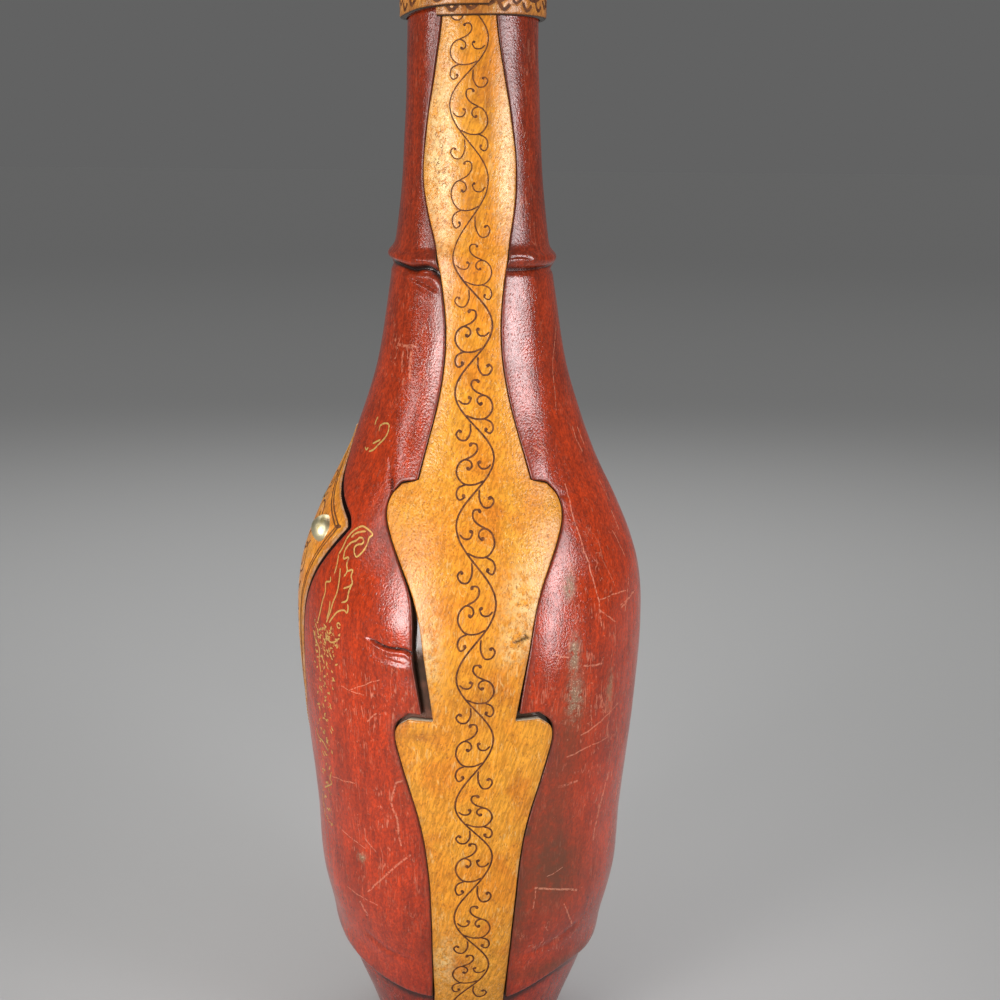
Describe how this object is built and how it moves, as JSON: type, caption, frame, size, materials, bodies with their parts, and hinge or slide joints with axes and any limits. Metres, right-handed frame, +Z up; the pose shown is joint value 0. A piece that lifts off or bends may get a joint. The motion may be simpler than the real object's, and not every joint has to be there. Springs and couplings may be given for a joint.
{
  "type": "leather-wrapped decanter",
  "caption": "Tall glass decanter in a fitted red leather jacket with tan tooled straps, a front shield, a collar and a leather-covered knob on a cork.",
  "frame": {"origin": "centre of the flat underside of the base pad, on the surface that the decanter stands on", "axes": "+Z up along the bottle's axis, -Y out of the front, where the shield is, +X out of the pictured strap"},
  "size_m": [0.0978, 0.0978, 0.3573],
  "materials": {
    "dark_glass": "dark green bottle glass, smooth",
    "red_leather": "oxblood leather, lacquered, scuffed, fine grain",
    "tan_leather": "vegetable-tanned leather with burnt tooled lines, waxed",
    "brass": "domed, tarnished",
    "cork": "natural cork",
    "turned_wood": "plain turned beech, oiled",
    "felt": "dark felt"
  },
  "bodies": {
    "bottle": {"glass_bottle": "dark_glass", "front_cover": "red_leather", "rear_cover": "red_leather", "right_strap": "tan_leather", "left_strap": "tan_leather", "front_shield": "tan_leather", "shield_stud_right": "brass", "shield_stud_left": "brass", "neck_collar": "tan_leather", "foot_cover": "red_leather", "base_pad": "felt"},
    "stopper": {"stopper_cork": "cork", "stopper_core": "turned_wood", "stopper_cover": "red_leather", "stopper_band": "tan_leather", "stopper_stud": "brass"}
  },
  "joints": [
    {"name": "stopper_lift", "type": "slide", "parent": "bottle", "child": "stopper", "axis": [0, 0, 1], "range_m": [0, 0.06]}
  ]
}
